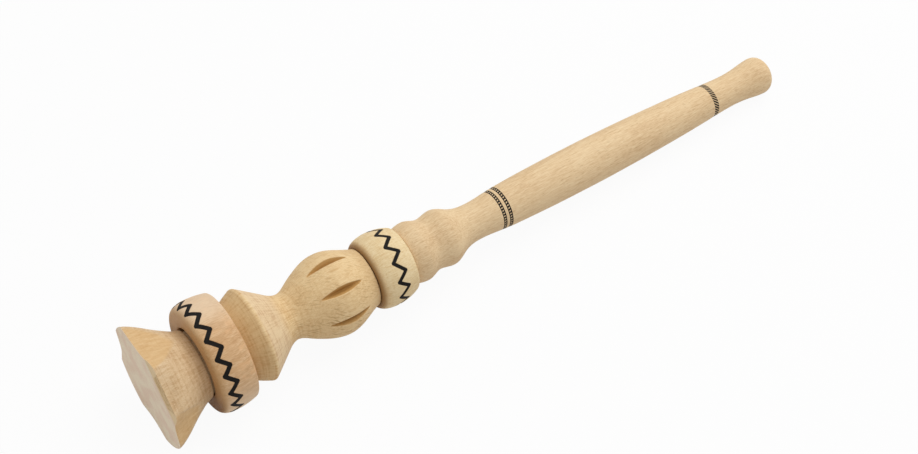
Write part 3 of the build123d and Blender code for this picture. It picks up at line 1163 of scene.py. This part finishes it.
@dataclass(frozen=True)
class Studio:
    """Plain white table, soft light and the camera."""

    aim_at: float = 160.6  # place along the whisk's axis that the camera looks at
    distance: float = 0.754  # from the camera to that place, m
    azimuth: float = -34.4  # the camera's direction round the whisk, degrees
    elevation: float = 53.0  # its height over the table, degrees
    lens: float = 64.0  # its focal length
    raise_aim: float = 0.00065  # how far it looks over that place, m
    roll: float = -0.18  # its turn about its own axis, degrees
    table_size: float = 4.0  # half the table's side, m
    table_glow: float = 0.94  # how evenly white the table looks
    lamp_at: tuple[float, float, float] = (0.60, 0.12, 1.10)  # the lamp's place, m
    lamp_size: float = 1.2  # its width, m
    key_power: float = 9.5  # its power, W
    ambient: float = 0.56  # strength of the surround

    def camera(self, axis: Matrix) -> None:
        """Look at a point on the whisk's axis from the front, above the foot."""
        a, e = math.radians(self.azimuth), math.radians(self.elevation)
        back = Vector((math.sin(a) * math.cos(e), -math.cos(a) * math.cos(e), math.sin(e)))
        data = bpy.data.cameras.new("camera")
        data.lens, data.sensor_width, data.clip_start, data.clip_end = self.lens, 36.0, 0.01, 20.0
        camera = placed("camera", data)
        turn = (-back).to_track_quat("-Z", "Y").to_matrix() @ Matrix.Rotation(math.radians(self.roll), 3, "Z")
        aim = axis @ Vector((self.aim_at * MM, 0, 0)) + turn @ Vector((0, self.raise_aim, 0))
        camera.location = aim + back * self.distance
        camera.rotation_euler = turn.to_euler()
        bpy.context.scene.camera = camera

    def seen_directly(self, graph: Graph) -> Signal:
        """1 for rays that show the background itself, straight or in a reflection."""
        names = "Is Camera Ray", "Is Glossy Ray", "Is Transmission Ray"
        straight, glossy, through = (graph.add("LightPath", out=name) for name in names)
        return (straight + glossy + through).clamped()

    def floor(self, low: float) -> None:
        """A white table that keeps a faint shadow."""
        bm = bmesh.new()
        bmesh.ops.create_grid(bm, x_segments=1, y_segments=1, size=self.table_size)
        table = meshed("table", bm)
        table.location.z = low
        material = bpy.data.materials.new("white_table")
        graph = Graph(material)
        white = graph.add("BsdfDiffuse", {"Color": (0.75, 0.75, 0.75)})
        glow = graph.add("Emission", {"Color": (1.0, 1.0, 1.0), "Strength": 1.0})
        sockets = {0: self.seen_directly(graph) * self.table_glow, 1: white, 2: glow}
        graph.add("OutputMaterial", {"Surface": graph.add("MixShader", sockets)})
        table.data.materials.append(material)
        table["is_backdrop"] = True

    def lights(self) -> None:
        """A large soft lamp overhead and an even white surround."""
        data = bpy.data.lights.new("soft_box", "AREA")
        data.shape, data.size, data.energy = "DISK", self.lamp_size, self.key_power
        lamp = placed("soft_box", data)
        lamp.location = self.lamp_at
        lamp.rotation_euler = (-lamp.location).to_track_quat("-Z", "Y").to_euler()
        world = bpy.context.scene.world = bpy.data.worlds.new("surround")
        graph = Graph(world)
        room = graph.add("Background", {"Color": (1.0, 0.99, 0.98), "Strength": self.ambient})
        card = graph.add("Background", {"Color": (1.0, 1.0, 1.0), "Strength": 1.0})
        shader = graph.add("MixShader", {0: self.seen_directly(graph), 1: room, 2: card})
        graph.add("OutputWorld", {"Surface": shader})


FOOT_BEECH = WoodTones(
    (0.78, 0.59, 0.37), (0.70, 0.50, 0.29), (0.59, 0.39, 0.20), (0.42, 0.25, 0.11), (0.96, 0.82, 0.62)
)
HEAD_BEECH = WoodTones((0.86, 0.66, 0.38), (0.785, 0.565, 0.30), (0.63, 0.41, 0.19), (0.44, 0.26, 0.10))
PINK_BEECH = WoodTones((0.77, 0.53, 0.31), (0.66, 0.415, 0.215), (0.53, 0.30, 0.135), (0.36, 0.17, 0.06))
PALE_BEECH = WoodTones((0.88, 0.72, 0.46), (0.80, 0.63, 0.365), (0.69, 0.49, 0.25), (0.52, 0.34, 0.15))
GRIP_BEECH = WoodTones((0.845, 0.66, 0.41), (0.755, 0.55, 0.32), (0.61, 0.41, 0.22), (0.40, 0.235, 0.10))

BANDS = (
    ChainBand(180.3, 1.7, 44, 0.9, 0.2, 5.5),
    ChainBand(183.5, 1.8, 44, 0.95, 0.2, 5.5),
    ChainBand(309.6, 2.7, 36, 6.0, -0.6, 9.0),
)


def whisk_pieces(frame: TurningFrame) -> list[TurnedPiece]:
    """All five pieces of the whisk, from the foot to the handle."""
    low_zigzag = Zigzag(19, 27.9, 4.3, 2.0, 1.5, -0.8, seed=4)
    high_zigzag = Zigzag(13, 120.3, 4.9, 1.7, 7.5, 1.2, seed=9)
    foot_finish = FootFinish(
        Slot.FOOT, FOOT_BEECH, 15, flecks=0.12, tool_lines=0.38, figure=0.4, scratches=0.15, contrast=1.15
    )
    low_finish = RingFinish(
        Slot.LOWER_RING, PINK_BEECH, 56, 4.1, flecks=0.42, fleck_length=5.0, tool_lines=0.06, shift=40.0,
        figure=0.7, contrast=1.3, half_stroke=low_zigzag.half_stroke, face_at=23.1, shade_top_share=0.25,
        blush=0.35, fade=0.45,
    )
    head_finish = HeadFinish(
        Slot.HEAD, HEAD_BEECH, 35, 3.2, flecks=0.12, tool_lines=0.44, shift=20.0, figure=0.3,
        scratches=0.92, contrast=1.15,
    )
    high_finish = RingFinish(
        Slot.UPPER_RING, PALE_BEECH, -30, 3.0, flecks=0.2, fleck_length=2.2, tool_lines=0.2, shift=65.0,
        figure=0.5, contrast=1.3, half_stroke=high_zigzag.half_stroke, face_at=109.2, shade_reach=2.5,
        shade_strength=0.82, shade_top_share=0.95,
    )
    grip_finish = HandleFinish(
        Slot.HANDLE, GRIP_BEECH, -20, 3.8, flecks=0.42, fleck_length=3.0, tool_lines=0.08, shift=90.0,
        figure=0.3, contrast=1.3, bands=BANDS,
    )
    return [
        StarFoot("star_foot", "whisk", foot_finish, frame.axis, Hand(seed=1.0)),
        LooseRing(
            "lower_ring", "loose_lower_ring", low_finish, frame.ring_axis("lower_ring_spin"),
            Hand(ridge=0.01, seed=2.0), 600, zigzag=low_zigzag,
        ),
        SlottedHead("head", "whisk", head_finish, frame.axis, Hand(seed=3.0)),
        LooseRing(
            "upper_ring", "loose_upper_ring", high_finish, frame.ring_axis("upper_ring_spin"),
            Hand(ridge=0.01, seed=4.0), 464, start=109.2, width=19.5, bore=12.6, crown=18.0, crown_at=8.6,
            front=14.4, back=15.6, zigzag=high_zigzag,
        ),
        Handle("handle", "whisk", grip_finish, frame.axis, Hand(ridge=0.01, seed=5.0), 160),
    ]


def main() -> None:
    """Load the frame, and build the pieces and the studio."""
    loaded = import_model()
    cad_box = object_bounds()
    frame = TurningFrame(loaded["record"])
    studio = Studio()
    studio.camera(frame.axis)
    studio.lights()
    for piece in whisk_pieces(frame):
        piece.build()
    studio.floor(cad_box[0].z)
    bpy.context.scene.view_settings.view_transform = "Standard"
    bpy.context.view_layer.update()


if __name__ == "__main__":
    main()
